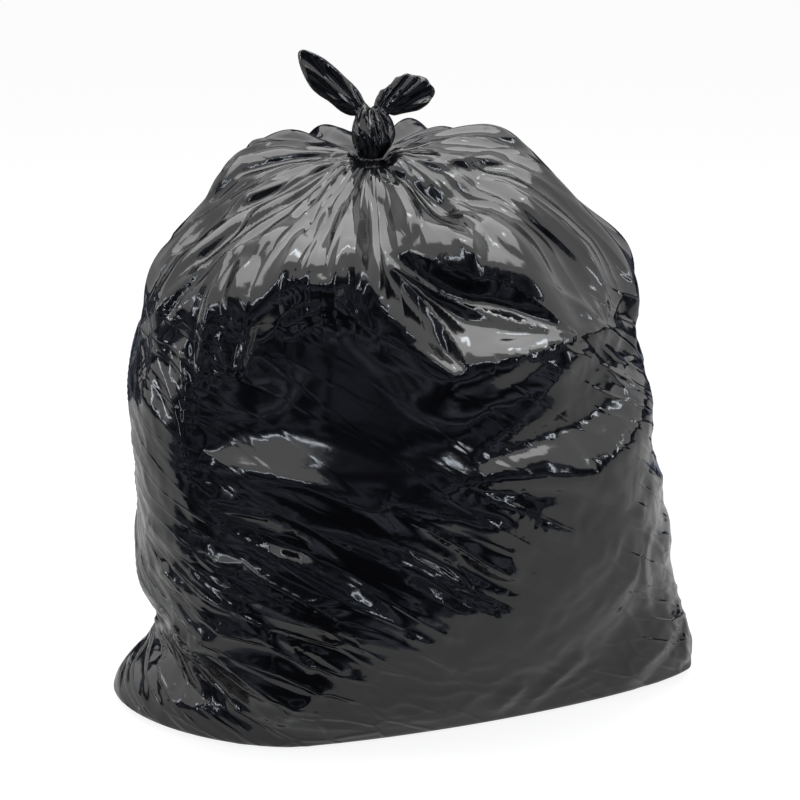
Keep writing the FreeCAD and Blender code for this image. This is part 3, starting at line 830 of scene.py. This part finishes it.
# %% The dark screens
SCREEN_RADIUS = 2.7
SCREEN_HEIGHTS = {
    -180: 1.6, -150: 1.2, -125: 0.4, -90: 0.3, -60: 1.2, -40: 2.4, 0: 2.6,
    40: 2.4, 60: 1.2, 90: 0.3, 125: 0.4, 150: 1.2, 180: 1.6,
}
DARK_FLOOR_STARTS = {
    -180: 0.6, -150: 0.9, -120: 2.4, -92: 2.4, -78: 0.9, -65: 0.42, -50: 0.34, -10: 0.25, 5: 0.27,
    20: 0.34, 35: 0.46, 50: 0.8, 60: 1.1, 90: 2.4, 120: 2.4, 150: 0.9, 180: 0.6,
}
DARK_FLOOR_LIFT = 0.002


def by_turn(table, place):
    """Reads a table by the turn of a place around the bag."""
    turn = math.degrees(math.atan2(place.x, -place.y))
    return float(np.interp(turn, list(table), list(table.values())))


def circle_with_rim():
    """A circle with a second one extruded from it, and the points of the second."""
    mesh = bmesh.new()
    bmesh.ops.create_circle(mesh, cap_ends=False, radius=SCREEN_RADIUS, segments=72)
    made = bmesh.ops.extrude_edge_only(mesh, edges=mesh.edges)["geom"]
    return mesh, [item for item in made if isinstance(item, bmesh.types.BMVert)]


screen_mesh, top = circle_with_rim()
for vertex in top:
    vertex.co.z = by_turn(SCREEN_HEIGHTS, vertex.co)
screen = stage_piece("screen", screen_mesh, dark, False)

ring_mesh, inner = circle_with_rim()
for vertex in inner:
    vertex.co *= by_turn(DARK_FLOOR_STARTS, vertex.co) / SCREEN_RADIUS
bmesh.ops.translate(ring_mesh, verts=ring_mesh.verts, vec=(0, 0, DARK_FLOOR_LIFT))
dark_floor = stage_piece("dark floor", ring_mesh, dim_floor, False)
for piece in (screen, dark_floor):
    piece.visible_diffuse = False
    piece.visible_shadow = False
    piece.visible_transmission = False
print("the screen stands", SCREEN_RADIUS, "m from the middle of the bag")

# %% [markdown]
# The room is white to the camera, in reflections and through clear things, and dimmer as a light,
# so that the background is white without washing out the bag.

# %% The white room
ROOM_LIGHT = 0.4
world = bpy.data.worlds.new("room")
bpy.context.scene.world = world
world.use_nodes = True
tree = world.node_tree
background = tree.nodes["Background"]
background.inputs["Color"].default_value = (1, 1, 1, 1)
rays = tree.nodes.new("ShaderNodeLightPath")


def room_maths(operation, first):
    """A Math node of the room, with its first value linked."""
    made = tree.nodes.new("ShaderNodeMath")
    made.operation = operation
    tree.links.new(first, made.inputs[0])
    return made


direct = room_maths("MAXIMUM", rays.outputs["Is Camera Ray"])
tree.links.new(rays.outputs["Is Glossy Ray"], direct.inputs[1])
clear = room_maths("MAXIMUM", direct.outputs[0])
tree.links.new(rays.outputs["Is Transmission Ray"], clear.inputs[1])
level = room_maths("MULTIPLY_ADD", clear.outputs[0])
level.inputs[1].default_value = 1 - ROOM_LIGHT
level.inputs[2].default_value = ROOM_LIGHT
tree.links.new(level.outputs[0], background.inputs["Strength"])
print("the room lights the bag at", ROOM_LIGHT)

# %% [markdown]
# One large lamp above and a little behind the bag gives the broad grey of its shoulders. Narrow
# cool strips in front and at the sides only add the thin bright lines along the creases. A small
# lamp would give the same light, but its reflection would be a dot.


# %% The lamps
def soft_lamp(name, place, aim, width, depth, watts, colour=(1, 1, 1)):
    """A rectangular lamp that looks at a point."""
    lamp = bpy.data.objects.new(name, bpy.data.lights.new(name, "AREA"))
    bpy.context.scene.collection.objects.link(lamp)
    lamp.data.shape = "RECTANGLE"
    lamp.data.size, lamp.data.size_y = width, depth
    lamp.data.energy = watts
    lamp.data.color = colour
    lamp.location = place
    lamp.rotation_euler = (Vector(aim) - Vector(place)).to_track_quat("-Z", "Y").to_euler()
    print(name, "gives", round(watts / (math.pi * width * depth), 2), "to what faces it")


COOL = (0.86, 0.93, 1)
MIDDLE = (0, 0, 0.3)
soft_lamp("lamp above", (0, 0.1, 2.2), (0, 0.1, 0.3), 2.2, 2.0, 38)
soft_lamp("strip left", (-1.5, -1.7, 0.9), MIDDLE, 0.05, 1.3, 3.4, COOL)
soft_lamp("strip right", (1.5, -1.7, 0.9), MIDDLE, 0.05, 1.3, 3.4, COOL)
soft_lamp("strip front", (-0.5, -2.2, 1.9), MIDDLE, 1.6, 0.1, 5, COOL)
soft_lamp("window", (0.35, -0.25, 1.8), MIDDLE, 0.32, 0.09, 0.9, COOL)
soft_lamp("strip far left", (-2.3, -0.4, 0.9), MIDDLE, 0.12, 1.2, 4, COOL)
soft_lamp("strip far right", (2.3, -0.5, 0.9), MIDDLE, 0.12, 1.2, 4, COOL)

# %% [markdown]
# The Standard view shows colours as they are written, so a black film stays black.

# %% The studio's colours
bpy.context.scene.view_settings.view_transform = "Standard"
print("view:", bpy.context.scene.view_settings.view_transform)
